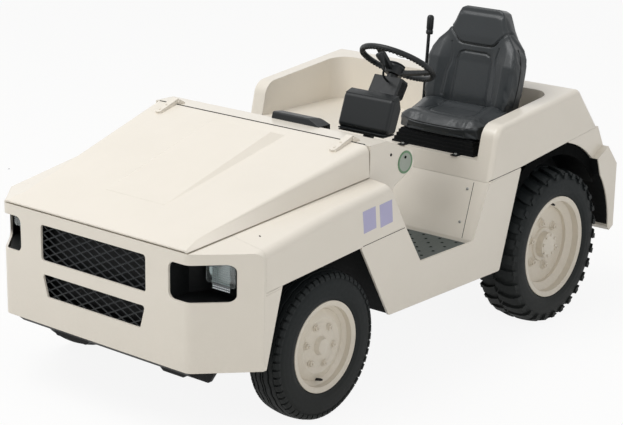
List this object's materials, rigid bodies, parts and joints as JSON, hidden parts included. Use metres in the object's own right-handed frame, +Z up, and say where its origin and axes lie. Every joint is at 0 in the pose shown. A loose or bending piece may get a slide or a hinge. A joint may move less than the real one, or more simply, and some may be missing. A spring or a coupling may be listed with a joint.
{
  "type": "baggage tow tractor",
  "caption": "Low heavy tow tractor with sloped hood, open driver's place, single seat in a raised tub and stepped tow jaws at the rear.",
  "frame": {"origin": "on the ground, midway along the overall length and width", "axes": "+X forward, +Y to the vehicle's left, +Z up"},
  "size_m": [2.916, 1.536, 1.4975],
  "materials": {
    "body_paint": "semi-gloss off-white enamel",
    "wheel_paint": "semi-gloss enamel",
    "tyre_rubber": "matte",
    "frame_black": "matte black paint",
    "cast_iron": "rough casting, black",
    "steel": "bare",
    "floor_grey": "matte dark grey",
    "black_plastic": "grained",
    "seat_vinyl": "grained vinyl",
    "grille_black": "satin black",
    "lamp_lens": "clear",
    "tail_red": "red lens"
  },
  "bodies": {
    "chassis": {"battery_box": "frame_black", "column_pod": "black_plastic", "column_shroud": "black_plastic", "counterweight": "body_paint", "cowl": "body_paint", "cross_members": "frame_black", "dash_console": "black_plastic", "dash_panel": "body_paint", "engine_block": "cast_iron", "exhaust": "steel", "floor_plate": "floor_grey", "front_axle": "cast_iron", "front_mask": "body_paint", "fuel_tank": "floor_grey", "gearbox": "cast_iron", "grille": "grille_black", "headlamps": "black_plastic", "hitch": "frame_black", "hitch_pin": "steel", "hood_hinges": "body_paint", "lamp_boxes": "frame_black", "lamp_lenses": "lamp_lens", "leaf_springs": "frame_black", "nose_guard": "frame_black", "parking_lever": "black_plastic", "pedals": "steel", "propshaft": "steel", "radiator": "frame_black", "rear_axle": "cast_iron", "rear_quarters": "body_paint", "seat_backrest": "seat_vinyl", "seat_base": "black_plastic", "seat_cushion": "seat_vinyl", "seat_riser": "body_paint", "shift_lever": "black_plastic", "side_rails": "frame_black", "skirts": "body_paint", "steering_column": "black_plastic", "tail_lamps": "tail_red", "tail_panel": "body_paint", "tub": "body_paint", "wheelhouses": "frame_black", "wings": "body_paint"},
    "hood": {"hood": "body_paint"},
    "knuckle_left": {"knuckle_left": "cast_iron"},
    "knuckle_right": {"knuckle_right": "cast_iron"},
    "track_rod": {"track_rod": "steel"},
    "wheel_front_left": {"wheel_front_left": "wheel_paint", "tyre_front_left": "tyre_rubber"},
    "wheel_front_right": {"wheel_front_right": "wheel_paint", "tyre_front_right": "tyre_rubber"},
    "wheel_rear_left": {"wheel_rear_left": "wheel_paint", "tyre_rear_left": "tyre_rubber"},
    "wheel_rear_right": {"wheel_rear_right": "wheel_paint", "tyre_rear_right": "tyre_rubber"},
    "steering_wheel": {"steering_wheel": "black_plastic"}
  },
  "joints": [
    {"name": "hood_hinge", "type": "hinge", "parent": "chassis", "child": "hood", "pos_m": [0.447, 0, 1.091], "axis": [0, -1, 0], "range_deg": [0, 60]},
    {"name": "steer_left", "type": "hinge", "parent": "chassis", "child": "knuckle_left", "pos_m": [0.842, 0.54, 0.317], "axis": [0, 0, 1], "range_deg": [-32, 32]},
    {"name": "steer_right", "type": "hinge", "parent": "chassis", "child": "knuckle_right", "pos_m": [0.842, -0.54, 0.317], "axis": [0, 0, 1], "range_deg": [-32, 32]},
    {"name": "track_rod_swing", "type": "hinge", "parent": "knuckle_left", "child": "track_rod", "pos_m": [0.692, 0.54, 0.25], "axis": [0, 0, 1], "range_deg": [-32, 32]},
    {"name": "steering_wheel_turn", "type": "hinge", "parent": "chassis", "child": "steering_wheel", "pos_m": [-0.062, 0.362, 1.318], "axis": [-0.5446, 0, 0.8387], "range_deg": [-480, 480]},
    {"name": "roll_front_left", "type": "hinge", "parent": "knuckle_left", "child": "wheel_front_left", "pos_m": [0.842, 0.6455, 0.317], "axis": [0, 1, 0], "continuous": true},
    {"name": "roll_front_right", "type": "hinge", "parent": "knuckle_right", "child": "wheel_front_right", "pos_m": [0.842, -0.6455, 0.317], "axis": [0, 1, 0], "continuous": true},
    {"name": "roll_rear_left", "type": "hinge", "parent": "chassis", "child": "wheel_rear_left", "pos_m": [-0.818, 0.6615, 0.374], "axis": [0, 1, 0], "continuous": true},
    {"name": "roll_rear_right", "type": "hinge", "parent": "chassis", "child": "wheel_rear_right", "pos_m": [-0.818, -0.6615, 0.374], "axis": [0, 1, 0], "continuous": true}
  ],
  "couplings": [
    {"joint": "steer_right", "follows": "steer_left", "ratio": 1},
    {"joint": "track_rod_swing", "follows": "steer_left", "ratio": -1},
    {"joint": "steering_wheel_turn", "follows": "steer_left", "ratio": 15}
  ]
}
